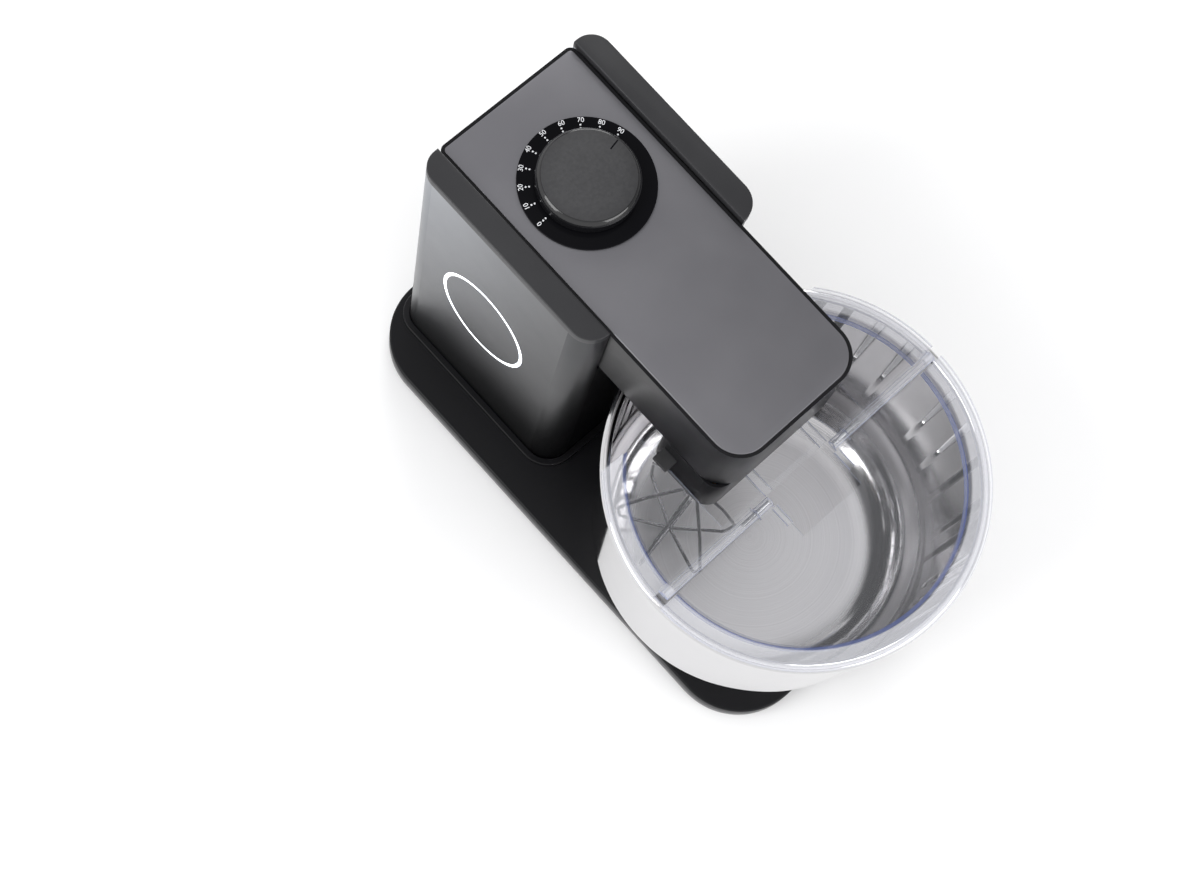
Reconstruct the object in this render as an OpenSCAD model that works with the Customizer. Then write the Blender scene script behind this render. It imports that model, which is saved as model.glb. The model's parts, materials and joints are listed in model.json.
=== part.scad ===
// Tilt-head stand mixer with a turning bowl, a clear splash guard and a mounted whisk.
// Origin: middle of the overall length and width, on the surface that it stands on.
// +Z is up, the bowl is at the -Y end and the column at the +Y end.

/* [Base] */
// Width of the base
base_w = 204; // [170:1:260]
// Distance from the bowl's axis to the rear of the base
base_back = 294; // [285:1:360]
// Distance from the bowl's axis to the front of the base
base_nose = 98; // [85:1:130]
// Height of the base casing, without its feet
base_h = 15; // [15:1:25]
// Corner radius of the base in plan
base_r = 50; // [20:1:70]
// Wall of the base casing
base_wall = 3; // [2:0.5:4]
// Thickness of the bottom plate
plate_t = 2.5; // [2:0.5:4]
// Height of a rubber foot
foot_h = 5; // [3:0.5:10]
// Radius of a rubber foot
foot_r = 10; // [7:0.5:14]

/* [Column] */
// Width of the column across its two cheeks
column_w = 144; // [134:1:180]
// Length of the column, front to rear
column_len = 153; // [145:1:190]
// Height of the column shell above the base
column_h = 270; // [258:1:330]
// Gap between the bowl's rim and the column
column_gap = 6; // [4:0.5:20]
// Outer corner radius of the column at the front
column_r = 18; // [8:1:25]
// Wall of the column
column_wall = 3; // [2:0.5:4]
// Height of the cheek caps
cap_h = 6.5; // [4:0.5:12]
// Width of the raised plinth around the column
plinth_w = 5; // [3:0.5:8]
// Height of the plinth
plinth_h = 4; // [3:0.5:8]

/* [Head] */
// Width of the head
head_w = 109; // [107:0.5:115]
// Length of the head
head_len = 265; // [240:1:300]
// Thickness of the head
head_h = 64.5; // [64:0.5:80]
// How far the head's front stands behind the bowl's axis
head_setback = 20; // [10:1:30]
// Corner radius of the head at the front
head_r = 22; // [10:1:30]
// Wall of the head
head_wall = 2; // [1.5:0.5:2.5]
// Thickness of the top panel
panel_t = 3; // [2:0.5:4]
// Gap between the head and each cheek
cheek_gap = 0.8; // [0.5:0.1:2]
// Distance of the hinge pin from the head's rear face
pivot_back = 36; // [30:1:45]
// Radius of the hinge pin
hinge_pin_r = 5; // [4:0.5:6]

/* [Bowl] */
// Outer radius of the bowl's rolled rim
bowl_r = 125; // [115:1:140]
// Height of the bowl's rim above the surface
rim_z = 207; // [195:1:212]
// Wall of the bowl
bowl_wall = 1.2; // [1:0.1:2]
// Radius of the rolled rim's bead
bead_r = 3.3; // [2.5:0.1:4]
// Radius of the bowl's flat floor
floor_r = 72; // [68:1:85]
// Outer radius of the bowl's foot ring
foot_ring_r = 62; // [55:1:66]

/* [Turntable] */
// Radius of the turntable
table_r = 80; // [76:1:90]
// Thickness of the turntable
table_t = 4; // [3:0.5:6]
// Radius of the turntable's shaft
table_shaft_r = 8; // [6:0.5:10]
// Pitch radius of the turntable's pulley
big_pulley_r = 40; // [30:1:60]
// Pitch radius of the motor's pulley
small_pulley_r = 10; // [8:0.5:16]

/* [Guard] */
// Thickness of the clear guard
guard_t = 2.5; // [2:0.5:3.5]
// Gap between the bowl's rim and the guard
guard_gap = 1.3; // [1:0.1:3]
// Gap between the bowl's wall and the guard's skirt, which dips into the bowl
skirt_gap = 7.4; // [5:0.1:18]
// Width of the pouring notch
notch_w = 51; // [40:1:56]
// Depth of the pouring notch, from the hinge line
notch_len = 30; // [20:1:60]

/* [Drive] */
// Sideways distance of the tool shaft from the middle
tool_x = 41; // [36:0.5:42]
// How far the tool shaft stands behind the bowl's axis
tool_back = 41; // [38:0.5:46]
// Outer radius of the tool spindle
spindle_r = 7.5; // [7:0.1:8]
// Radius of the whisk's shank
shank_r = 5; // [4:0.1:5.5]
// Radius of the whisk across its widest part
whisk_r = 41; // [30:1:44]
// Thickness of a whisk wire
wire_d = 2.2; // [1.6:0.1:3]

/* [Dial] */
// Radius of the speed knob
knob_r = 31; // [20:1:34]
// Height of the speed knob
knob_h = 11.5; // [8:0.5:20]
// Radius of the gloss ring around the knob
dial_r = 43; // [36:1:50]
// Distance of the dial from the head's rear face
dial_back = 74; // [68:1:90]

/* [Badge] */
// Half width of the lit badge
badge_a = 37.5; // [20:0.5:45]
// Half height of the lit badge
badge_b = 45; // [20:0.5:60]
// Height of the badge's middle above the base
badge_up = 146; // [110:1:170]
// Width of the lit line
badge_line = 2.4; // [1.5:0.1:5]

/* [Hidden] */
$fn = 64;

// Clearances
run = 0.05;         // radial running clearance of a shaft
slip = 0.2;         // gap around a part that drops into place
air = 0.6;          // gap between parts that pass each other
eps = 0.5;          // how far a cut runs past a face

// Places along Y, worked out from the bowl's axis
bowl_y = -(base_back - bowl_r) / 2;
base_y1 = bowl_y + base_back;
base_y0 = bowl_y - base_nose;
column_y0 = bowl_y + bowl_r + column_gap;
column_y1 = column_y0 + column_len;
column_cy = (column_y0 + column_y1) / 2;
head_y0 = bowl_y + head_setback;
head_y1 = head_y0 + head_len;
pivot_y = head_y1 - pivot_back;
dial_y = head_y1 - dial_back;
tool = [-tool_x, bowl_y + tool_back];
sheet_gap = 4;       // from the guard's hinge line to each sheet
hinge_y = bowl_y - 0.5;

// Levels
base_z1 = foot_h + base_h;
column_z1 = base_z1 + column_h;
head_proud = 1.5;
head_z1 = column_z1 + head_proud;
head_z0 = head_z1 - head_h;
pivot_share = 0.43;  // height of the hinge pin in the head, as a share of the head
pivot_z = head_z0 + head_h * pivot_share;
panel_z0 = head_z1 - panel_t;
head_floor = 2.5;
floor_z = head_z0 + head_floor;
table_gap = 1;
table_z0 = base_z1 + table_gap;
table_z1 = table_z0 + table_t;
guard_z0 = rim_z + guard_gap;
guard_z1 = guard_z0 + guard_t;

// Head slot between the cheeks and the hollow that the head's rear turns in
slot_w = head_w + 2 * cheek_gap;
deck_gap = 1;
deck_z = head_z0 - deck_gap;
rear_reach = sqrt(pow(pivot_back, 2) + pow(pivot_z - head_z0, 2));
saddle_gap = 3.4;
saddle_r = rear_reach + saddle_gap;
saddle_wall = 6;     // column left standing around the hollow
front_len = pivot_y - saddle_r - 4 - column_y0;

// Gears: each pair shares a module, and the centres follow from the tooth counts
teeth_motor = 12;
teeth_first = 70;
module_first = 1;
teeth_first_small = 12;
teeth_second = 32;
module_second = 1.5;
teeth_second_small = 12;
teeth_spindle = 12;
module_last = 1.5;
mesh_slack = 0.12;
second_dir = 27;
first_dir = 57;
motor_dir = 82;
function meshed(c, m, teeth, dir) = c + m * teeth / 2 * [cos(dir), sin(dir)];
second_c = meshed(tool, module_last, teeth_second_small + teeth_spindle, second_dir);
first_c = meshed(second_c, module_second, teeth_first_small + teeth_second, first_dir);
motor_c = meshed(first_c, module_first, teeth_motor + teeth_first, motor_dir);
gear_face = 6.5;
gear_lift = 1.5;
gear_step = 8;
gear_z = [for (k = [0:2]) floor_z + gear_lift + k * gear_step];
gear_top = gear_z[2] + gear_face;
axle_r = 3;
hub_r = axle_r + 3;
gearbox_plate_z = gear_top + 2;
gearbox_plate_t = 3;
gearbox_plate_front = 22;
gearbox_plate_side = 4;
motor_r = 34;
motor_z0 = gear_top + 3;
motor_h = panel_z0 - motor_z0 - 4;
motor_vents = 6;
motor_vent_w = 6;
motor_vent_h = 8;
motor_foot_r = 3;
fan_r = 20;
case_wall = 4;

// Gearbox cover under the head
chin_w = head_w - 1;
chin_len = 53;
chin_y0 = head_y0 + 3;
chin_y1 = chin_y0 + chin_len;
chin_drop = 26.3;    // how far the cover dips below the guard, which clips onto it
chin_z0 = guard_z0 - chin_drop;
chin_r = 12;
chin_wall = 2;

// Turntable drive in the base
bowl_motor_c = [0, column_cy - 5];
bowl_motor_r = 26;
bowl_motor_h = 52;
bowl_motor_z1 = base_z1 + bowl_motor_h;
bowl_shaft_r = 4;
bowl_rotor_r = 20;
bowl_rotor_end = 9;
pulley_z = foot_h + plate_t + 1.5;
pulley_h = base_z1 - base_wall - 2 - pulley_z;
pulley_rim = 0.8;
belt_t = 2;
belt_side = 1.4;
bearing_r = 14;
bearing_flange_r = 18;
bearing_flange_t = 1.2;

// Bowl
bowl_z0 = table_z1 + 1;
bowl_floor_z = bowl_z0 + 9;
bowl_top_r = bowl_r - 2 * bead_r + bowl_wall;
bowl_low_r = bowl_top_r - 4;
bowl_bend_r = bowl_low_r - floor_r;
lug_t = 3;
lug_reach = 5;
lug_angle = 26;
claw_lift = 0.8;
claw_t = 3;
collar_t = 4;
foot_ring_t = 3;
bowl_fn = 128;
wire_fn = 24;

// Whisk
spindle_z0 = chin_z0 - 6;
spindle_z1 = gear_z[0] + gear_face + 0.5;
socket_depth = 30;
pin_r = 1.5;
pin_gap = 0.3;
pin_z = spindle_z0 + 9;
bush_wall = 3;
low_bush_wall = 2.4;
low_bush_h = 9;
ferrule_z0 = spindle_z0 - 26;
ferrule_r = 9;
ferrule_h = 16;
whisk_z0 = bowl_floor_z + 10;
wire_r = wire_d / 2;
loops = 3;
twist_angle = 40;

// Guard
barrel_r = 3.2;
hinge_z = guard_z1 + barrel_r - 0.4;
cut_w = chin_w + 13;
barrel_x = [notch_w / 2 + 2, notch_w / 2 + 14];
guard_end_x = bowl_r - 7;
arm_x = 24;
arm_w = 6;
arm_h = 5;
clip_size = [10, 12, 3];
rib_size = [4, 14.5, 3.5];
pin_past = 11;       // how far a hinge pin runs on into the rear guard
guard_r = bowl_r - 0.5;
guard_back = 83;
skirt_drop = 7;
skirt_r = bowl_top_r - bowl_wall - skirt_gap;
guard_pin_r = 1.4;

// Screws
screw_r = 1.4;
screw_hole_r = 1.5;
screw_free_r = 1.8;
screw_head_r = 3;
screw_head_h = 1.6;
screw_tip = 1.5;
post_r = 4;

// Lock
lock_y = pivot_y - 65;
lock_z = pivot_z - 8;
lock_r = 4;
lock_travel = 5;
lock_knob_r = 9;
lock_knob_t = 9;
lock_gap = 0.3;

// Rectangle in plan with its own radius at the front (-Y) and rear corners
module plan(w, y0, y1, r_front, r_rear) {
    for (s = [-1, 1]) {
        translate([s * (w / 2 - r_front), y0 + r_front]) circle(r_front);
        translate([s * (w / 2 - r_rear), y1 - r_rear]) circle(r_rear);
    }
    translate([-w / 2, y0 + r_front]) square([w, y1 - y0 - r_front - r_rear]);
    translate([-w / 2 + r_front, y0]) square([w - 2 * r_front, r_front + eps]);
    translate([-w / 2 + r_rear, y1 - r_rear - eps]) square([w - 2 * r_rear, r_rear + eps]);
}

module slab(z0, z1) {
    translate([0, 0, z0]) linear_extrude(z1 - z0) children();
}

module rod(p, r, z0, z1) {
    translate([p[0], p[1], z0]) cylinder(r = r, h = z1 - z0);
}

module cross_rod(x0, x1, y, z, r) {
    translate([x0, y, z]) rotate([0, 90, 0]) cylinder(r = r, h = x1 - x0);
}

module ring(r_out, r_in, z0, z1) {
    difference() {
        translate([0, 0, z0]) cylinder(r = r_out, h = z1 - z0);
        translate([0, 0, z0 - eps]) cylinder(r = r_in, h = z1 - z0 + 2 * eps);
    }
}

function oval(a, b, n = 72) = [for (k = [0:n - 1]) [a * cos(360 * k / n), b * sin(360 * k / n)]];
function on_circle(r, a) = r * [cos(a), sin(a)];
function wedge(a0, a1, r, n = 8) =
    concat([[0, 0]], [for (k = [0:n]) on_circle(r, a0 + (a1 - a0) * k / n)]);

// Involute spur gear outline
pressure = 25;
root_share = 1.1;
tip_share = 0.85;
function involute(rb, t) = rb * [cos(t) + t * PI / 180 * sin(t), sin(t) - t * PI / 180 * cos(t)];
function turn(p, a) = [p[0] * cos(a) - p[1] * sin(a), p[0] * sin(a) + p[1] * cos(a)];
function roll(rb, r) = r <= rb ? 0 : sqrt(pow(r / rb, 2) - 1) * 180 / PI;
function flank_angle(rb, r) = let (p = involute(rb, roll(rb, r))) atan2(p[1], p[0]);
function flank(rb, r0, r1, half, n = 4) =
    [for (k = [0:n]) let (r = r0 + (r1 - r0) * k / n) turn([r, 0], flank_angle(rb, max(r, rb)) - half)];
function mirror_y(points) = [for (k = [len(points) - 1:-1:0]) [points[k][0], -points[k][1]]];
function tooth(n, m) =
    let (rp = n * m / 2,
         rb = rp * cos(pressure),
         half = 90 / n + flank_angle(rb, rp) - mesh_slack / rp * 180 / PI,
         side = flank(rb, rp - root_share * m, rp + tip_share * m, half))
    concat(side, mirror_y(side));
function gear_outline(n, m, phase) =
    [for (k = [0:n - 1]) for (p = tooth(n, m)) turn(p, phase + 360 * k / n)];

module gear(c, n, m, phase, z0) {
    translate([c[0], c[1], z0]) linear_extrude(gear_face) polygon(gear_outline(n, m, phase));
}

// ---- Stand ----
module base_outline(inset) {
    plan(base_w - 2 * inset, base_y0 + inset, base_y1 - inset, base_r - inset, base_r - inset);
}

screw_in = 30;
screw_mid = 95;
screw_y = [base_y0 + screw_in, bowl_y + screw_mid, base_y1 - screw_in];
screw_places = [for (s = [-1, 1]) for (y = screw_y) [s * (base_w / 2 - screw_in), y]];
foot_side = 16;
foot_end = 34;
foot_mid = 70;
foot_y = [base_y0 + foot_end, bowl_y + foot_mid, base_y1 - foot_end];
foot_places = [for (s = [-1, 1]) for (y = foot_y) [s * (base_w / 2 - foot_side), y]];
shaft_hole_gap = 3;

module base_cover() {
    color("#1b1c1e") difference() {
        slab(foot_h, base_z1) base_outline(0);
        slab(foot_h - eps, base_z1 - base_wall) base_outline(base_wall);
        rod([0, bowl_y], bearing_r, foot_h, base_z1 + eps);
        rod(bowl_motor_c, bowl_shaft_r + shaft_hole_gap, foot_h, base_z1 + eps);
    }
    color("#1b1c1e") for (p = screw_places) difference() {
        rod(p, post_r, foot_h + plate_t, base_z1 - base_wall);
        rod(p, screw_hole_r, foot_h, base_z1 - base_wall - screw_tip);
    }
}

module base_plate() {
    color("#3a3b3e") difference() {
        slab(foot_h, foot_h + plate_t) base_outline(base_wall + slip);
        for (p = screw_places) rod(p, screw_free_r, foot_h - eps, base_z1);
    }
}

module rubber_feet() {
    color("#111111") for (p = foot_places) rod(p, foot_r, 0, foot_h);
}

module plate_screws() {
    color("#b9bcc0") for (p = screw_places) {
        rod(p, screw_r, foot_h - screw_head_h / 2, base_z1 - base_wall - 2 * screw_tip);
        rod(p, screw_head_r, foot_h - screw_head_h, foot_h);
    }
}

module column_outline(inset) {
    r = column_r - inset;
    plan(column_w - 2 * inset, column_y0 + inset, column_y1 - inset, r, r - 4);
}

module column_plinth() {
    color("#1b1c1e") difference() {
        slab(base_z1, base_z1 + plinth_h) column_outline(-plinth_w);
        slab(base_z1 - eps, base_z1 + plinth_h + eps) column_outline(0);
    }
}

module column_shell() {
    color("#55575c") difference() {
        slab(base_z1, column_z1) column_outline(0);
        // room below the head
        slab(base_z1 - eps, pivot_z - saddle_r - saddle_wall) column_outline(column_wall);
        intersection() {
            slab(pivot_z - saddle_r - saddle_wall - 1, deck_z - column_wall) column_outline(column_wall);
            translate([-column_w / 2, column_y0, 0]) cube([column_w, front_len, column_z1]);
        }
        // room inside each cheek
        intersection() {
            slab(deck_z - column_wall, column_z1 - column_wall) column_outline(column_wall);
            for (s = [-1, 1])
                translate([s * (slot_w / 2 + column_wall + column_w) - column_w, column_y0, 0])
                    cube([2 * column_w, column_len, column_z1]);
        }
        // slot for the head
        translate([-slot_w / 2, column_y0 - eps, deck_z]) cube([slot_w, column_len + 2 * eps, column_h]);
        cross_rod(-slot_w / 2, slot_w / 2, pivot_y, pivot_z, saddle_r);
        cross_rod(-hinge_pin_x, hinge_pin_x, pivot_y, pivot_z, hinge_pin_r);
        cross_rod(slot_w / 2 - eps, column_w / 2 + eps, lock_y, lock_z, lock_r + run);
        badge_recess();
        // cable and air at the rear
        translate([0, column_y1 + eps, inlet_z]) rotate([90, 0, 0])
            cylinder(r = inlet_r, h = 2 * column_wall);
        translate([-grille_w / 2, column_y1 - 2 * column_wall, grille_z0])
            cube([grille_w, 3 * column_wall, grille_h]);
    }
}

hinge_pin_x = column_w / 2 - 3;
inlet_z = base_z1 + 18;
inlet_r = 7;
inlet_bore_r = 3.6;
inlet_out = 9;
inlet_in = 5;
inlet_flange = 2;
grille_w = 80;
grille_z0 = base_z1 + 45;
grille_h = 44;
badge_y = column_cy + 5;
badge_z = base_z1 + badge_up;
badge_t = 2;

module badge_solid(a, b, t) {
    translate([-column_w / 2, badge_y, badge_z]) rotate([90, 0, 90]) linear_extrude(t) polygon(oval(a, b));
}

module badge_recess() {
    translate([-eps, 0, 0]) badge_solid(badge_a + slip, badge_b + slip, badge_t + eps);
}

module badge_plate() {
    color("#4b4d52") badge_solid(badge_a - badge_line - slip, badge_b - badge_line - slip, badge_t);
}

module badge_light_ring() {
    color("#eef4ff") difference() {
        badge_solid(badge_a, badge_b, badge_t);
        translate([-eps, 0, 0]) badge_solid(badge_a - badge_line, badge_b - badge_line, badge_t + 2 * eps);
    }
}

module cheek_cap(side) {
    color("#17181a") intersection() {
        slab(column_z1, column_z1 + cap_h) column_outline(0);
        translate([side * (slot_w / 2 + column_w) - column_w, column_y0, 0])
            cube([2 * column_w, column_len, column_z1 + 2 * cap_h]);
    }
}

pad_x = 38;
pad_back = 14;
pad_r = 6;
pad_gap = 0.3;
module rest_pads() {
    color("#111111") for (s = [-1, 1])
        rod([s * pad_x, column_y0 + pad_back], pad_r, deck_z, head_z0 - pad_gap);
}

module hinge_pin() {
    color("#c8cacc") cross_rod(-hinge_pin_x, hinge_pin_x, pivot_y, pivot_z, hinge_pin_r);
}

spring_turns = 11;
spring_wire = 1.4;
spring_pitch = 1.8 * spring_wire;
module balance_spring() {
    color("#a8abae") for (k = [0:spring_turns - 1])
        translate([(k - (spring_turns - 1) / 2) * spring_pitch, pivot_y, pivot_z]) rotate([0, 90, 0])
            rotate_extrude() translate([hinge_pin_r + spring_wire + air, 0]) circle(spring_wire);
}

module power_inlet() {
    color("#111111") translate([0, column_y1, inlet_z]) rotate([90, 0, 0]) difference() {
        union() {
            translate([0, 0, -inlet_in]) cylinder(r = inlet_r - 0.5, h = inlet_in + inlet_out);
            cylinder(r = inlet_r - slip, h = column_wall);
            translate([0, 0, -inlet_flange]) cylinder(r = inlet_r + inlet_flange, h = inlet_flange);
        }
        translate([0, 0, -inlet_in - eps]) cylinder(r = inlet_bore_r, h = inlet_in + inlet_out + 2 * eps);
    }
}

slats = 7;
slat_t = 2.4;
grille_edge = 4;
module vent_grille() {
    pitch = (grille_h - grille_edge) / slats;
    color("#232427") difference() {
        translate([-grille_w / 2 + slip, column_y1 - column_wall, grille_z0 + slip])
            cube([grille_w - 2 * slip, column_wall, grille_h - 2 * slip]);
        for (k = [0:slats - 1])
            translate([-grille_w / 2 + grille_edge, column_y1 - 2 * column_wall, grille_z0 + 3 + k * pitch])
                cube([grille_w - 2 * grille_edge, 3 * column_wall, pitch - slat_t]);
    }
}

board_t = 1.6;
power_board_size = [90, board_t, 60];
power_board_at = [-45, column_cy + 20, base_z1 + 110];
capacitor_size = [26, 18, 30];
capacitor_at = power_board_at + [15, -capacitor_size[1], 8];
coil_size = [24, 14, 24];
coil_at = power_board_at + [53, -coil_size[1], 10];
module power_board() {
    color("#1f6b3a") translate(power_board_at) cube(power_board_size);
    color("#2b2d30") translate(capacitor_at) cube(capacitor_size);
    color("#b98a3a") translate(coil_at) cube(coil_size);
}

// ---- Turntable drive ----
module bowl_motor() {
    color("#8c9094") difference() {
        rod(bowl_motor_c, bowl_motor_r, base_z1, bowl_motor_z1);
        rod(bowl_motor_c, bowl_motor_r - case_wall, base_z1 + case_wall + 1, bowl_motor_z1 - case_wall - 1);
        rod(bowl_motor_c, bowl_shaft_r + run, base_z1 - eps, bowl_motor_z1 + eps);
    }
}

module bowl_motor_shaft() {
    color("#c8cacc") rod(bowl_motor_c, bowl_shaft_r, pulley_z, bowl_motor_z1 + 1);
    color("#9a5a35") difference() {
        rod(bowl_motor_c, bowl_rotor_r, base_z1 + bowl_rotor_end, bowl_motor_z1 - bowl_rotor_end);
        rod(bowl_motor_c, bowl_shaft_r, base_z1, bowl_motor_z1);
    }
}

module pulley(c, r, bore) {
    translate([c[0], c[1], 0]) difference() {
        union() {
            translate([0, 0, pulley_z]) cylinder(r = r, h = pulley_h);
            for (z = [pulley_z, pulley_z + pulley_h - pulley_rim])
                translate([0, 0, z]) cylinder(r = r + belt_t + pulley_rim, h = pulley_rim);
        }
        translate([0, 0, pulley_z - eps]) cylinder(r = bore, h = pulley_h + 2 * eps);
    }
}

module small_pulley() {
    color("#d7d8da") pulley(bowl_motor_c, small_pulley_r, bowl_shaft_r);
}

module large_pulley() {
    color("#d7d8da") pulley([0, bowl_y], big_pulley_r, table_shaft_r);
}

module belt_outline(grow) {
    hull() {
        translate(bowl_motor_c) circle(small_pulley_r + grow);
        translate([0, bowl_y]) circle(big_pulley_r + grow);
    }
}

module drive_belt() {
    color("#151515") slab(pulley_z + belt_side, pulley_z + pulley_h - belt_side) difference() {
        belt_outline(belt_t);
        belt_outline(slip);
    }
}

module turntable_bearing() {
    color("#c9a35a") translate([0, bowl_y, 0]) difference() {
        union() {
            translate([0, 0, base_z1 - base_wall - bearing_flange_t])
                cylinder(r = bearing_flange_r, h = bearing_flange_t);
            translate([0, 0, base_z1 - base_wall]) cylinder(r = bearing_r, h = base_wall + 0.4);
        }
        translate([0, 0, foot_h]) cylinder(r = table_shaft_r + run, h = base_h + 2);
    }
}

lug_r = foot_ring_r + lug_reach;
lug_z = bowl_z0 + 0.6;
claw_z = lug_z + lug_t + claw_lift;
collar_r = lug_r + 2;

module lug_sector(k, z0, z1) {
    slab(z0, z1) polygon(wedge(k * 120 - lug_angle / 2, k * 120 + lug_angle / 2, 2 * lug_r));
}

module turntable() {
    color("#2a2b2e") translate([0, bowl_y, 0]) {
        translate([0, 0, table_z0]) cylinder(r = table_r, h = table_t);
        translate([0, 0, pulley_z]) cylinder(r = table_shaft_r, h = table_z0 - pulley_z + eps);
        ring(collar_r + collar_t, collar_r, table_z1 - eps, claw_z + claw_t);
        for (k = [0:2]) intersection() {
            ring(collar_r + eps, foot_ring_r + 1.5, claw_z, claw_z + claw_t);
            lug_sector(k, claw_z, claw_z + claw_t);
        }
    }
}

// ---- Bowl ----
bend_steps = 10;
function bend_points(r, grow) = [for (k = [0:bend_steps]) let (a = 90 * k / bend_steps)
    [floor_r + (r + grow) * sin(a), bowl_floor_z + r - (r + grow) * cos(a)]];
module bowl() {
    outer = concat(bend_points(bowl_bend_r, 0), [[bowl_top_r, rim_z - bead_r]]);
    inner = concat(bend_points(bowl_bend_r, -bowl_wall), [[bowl_top_r - bowl_wall, rim_z - bead_r]]);
    reversed = [for (k = [len(inner) - 1:-1:0]) inner[k]];
    color("#d4d6d8") translate([0, bowl_y, 0]) {
        rotate_extrude($fn = bowl_fn)
            polygon(concat([[0, bowl_floor_z]], outer, reversed, [[0, bowl_floor_z + bowl_wall]]));
        translate([0, 0, rim_z - bead_r]) rotate_extrude($fn = bowl_fn)
            translate([bowl_r - bead_r, 0]) circle(bead_r, $fn = wire_fn);
    }
}

module bowl_foot_ring() {
    color("#b9bcc0") translate([0, bowl_y, 0]) {
        ring(foot_ring_r, foot_ring_r - foot_ring_t, bowl_z0, bowl_floor_z);
        for (k = [0:2]) intersection() {
            ring(lug_r, foot_ring_r - eps, lug_z, lug_z + lug_t);
            lug_sector(k, lug_z, lug_z + lug_t);
        }
    }
}

// ---- Head ----
head_rear_r = 5;
dial_hole_r = 6;
module head_outline(inset) {
    plan(head_w - 2 * inset, head_y0 + inset, head_y1 - inset, head_r - inset, head_rear_r - inset);
}

post_places = [[44, head_y0 + 14], [-47, head_y0 + 68], [46, head_y0 + 78],
               [46, head_y1 - 12], [-46, head_y1 - 12]];
motor_feet = [for (a = [48, 132, -22]) motor_c + on_circle(motor_r - motor_foot_r, a)];

module head_shell() {
    color("#17181a") difference() {
        slab(head_z0, head_z1 - 0.4) head_outline(0);
        slab(floor_z, head_z1) head_outline(head_wall);
        rod(tool, spindle_r + bush_wall, head_z0 - eps, floor_z + eps);
        cross_rod(-head_w, head_w, pivot_y, pivot_z, hinge_pin_r + bush_wall);
        cross_rod(0, head_w, lock_y, lock_z, lock_r + lock_gap);
    }
    color("#17181a") for (p = post_places) difference() {
        rod(p, post_r, floor_z - eps, panel_z0);
        rod(p, screw_hole_r, panel_z0 - 12, panel_z0 + eps);
    }
    color("#17181a") for (p = motor_feet) rod(p, motor_foot_r, floor_z - eps, motor_z0);
}

module head_panel() {
    color("#85868b") difference() {
        slab(panel_z0, head_z1) head_outline(head_wall + slip);
        rod([0, dial_y], dial_hole_r, panel_z0 - eps, head_z1 + eps);
        for (p = post_places) rod(p, screw_free_r, panel_z0 - eps, head_z1 - 1);
    }
}

module panel_screws() {
    color("#b9bcc0") for (p = post_places) rod(p, screw_r, panel_z0 - 10, head_z1 - 1.2);
}

module gearbox_outline(inset) {
    plan(chin_w - 2 * inset, chin_y0 + inset, chin_y1 - inset, chin_r - inset, chin_r - inset);
}

module gearbox_cover() {
    color("#17181a") difference() {
        slab(chin_z0, head_z0) gearbox_outline(0);
        slab(chin_z0 + chin_wall, head_z0 + eps) gearbox_outline(chin_wall);
        rod(tool, spindle_r + low_bush_wall, chin_z0 - eps, head_z0);
    }
}

module gearbox_plate() {
    y0 = head_y0 + gearbox_plate_front;
    y1 = motor_c[1] - motor_r - 2;
    color("#9a9da1") difference() {
        translate([-head_w / 2 + gearbox_plate_side, y0, gearbox_plate_z])
            cube([head_w - 22, y1 - y0, gearbox_plate_t]);
        rod(first_c, axle_r, gearbox_plate_z - eps, panel_z0);
        for (p = post_places) rod(p, post_r + slip, gearbox_plate_z - eps, panel_z0);
    }
}

module gear_axles() {
    color("#c8cacc") {
        rod(first_c, axle_r, floor_z, gearbox_plate_z + gearbox_plate_t);
        // this one ends under the large wheel that turns over it
        rod(second_c, axle_r, floor_z, gear_z[1] + gear_face + 0.4);
    }
}

bush_half = 5;
module hinge_bushes() {
    color("#c9a35a") for (s = [-1, 1]) difference() {
        translate([s * (head_w / 2 - bush_half), 0, 0])
            cross_rod(-bush_half, bush_half, pivot_y, pivot_z, hinge_pin_r + bush_wall);
        cross_rod(-head_w, head_w, pivot_y, pivot_z, hinge_pin_r + run);
    }
}

// ---- Head motor and gears ----
module head_motor() {
    color("#8c9094") difference() {
        rod(motor_c, motor_r, motor_z0, motor_z0 + motor_h);
        rod(motor_c, motor_r - case_wall, motor_z0 + case_wall - 1, motor_z0 + motor_h + eps);
        rod(motor_c, axle_r + run, motor_z0 - eps, motor_z0 + 4);
        for (k = [0:motor_vents - 1])
            translate([motor_c[0], motor_c[1], motor_z0 + motor_h - 12]) rotate([0, 0, k * 360 / motor_vents])
                translate([0, -motor_vent_w / 2, 0]) cube([motor_r + 2, motor_vent_w, motor_vent_h]);
    }
}

module motor_shaft() {
    color("#c8cacc") rod(motor_c, axle_r, gear_z[2] - 0.8, motor_z0 + motor_h - 1);
    color("#9a5a35") difference() {
        rod(motor_c, fan_r, motor_z0 + 4.5, motor_z0 + motor_h - 15.5);
        rod(motor_c, axle_r, motor_z0, motor_z0 + motor_h);
    }
}

module motor_pinion() {
    color("#b0864a") difference() {
        gear(motor_c, teeth_motor, module_first, motor_dir + 180, gear_z[2]);
        rod(motor_c, axle_r, gear_z[2] - eps, gear_z[2] + gear_face + eps);
    }
}

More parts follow.
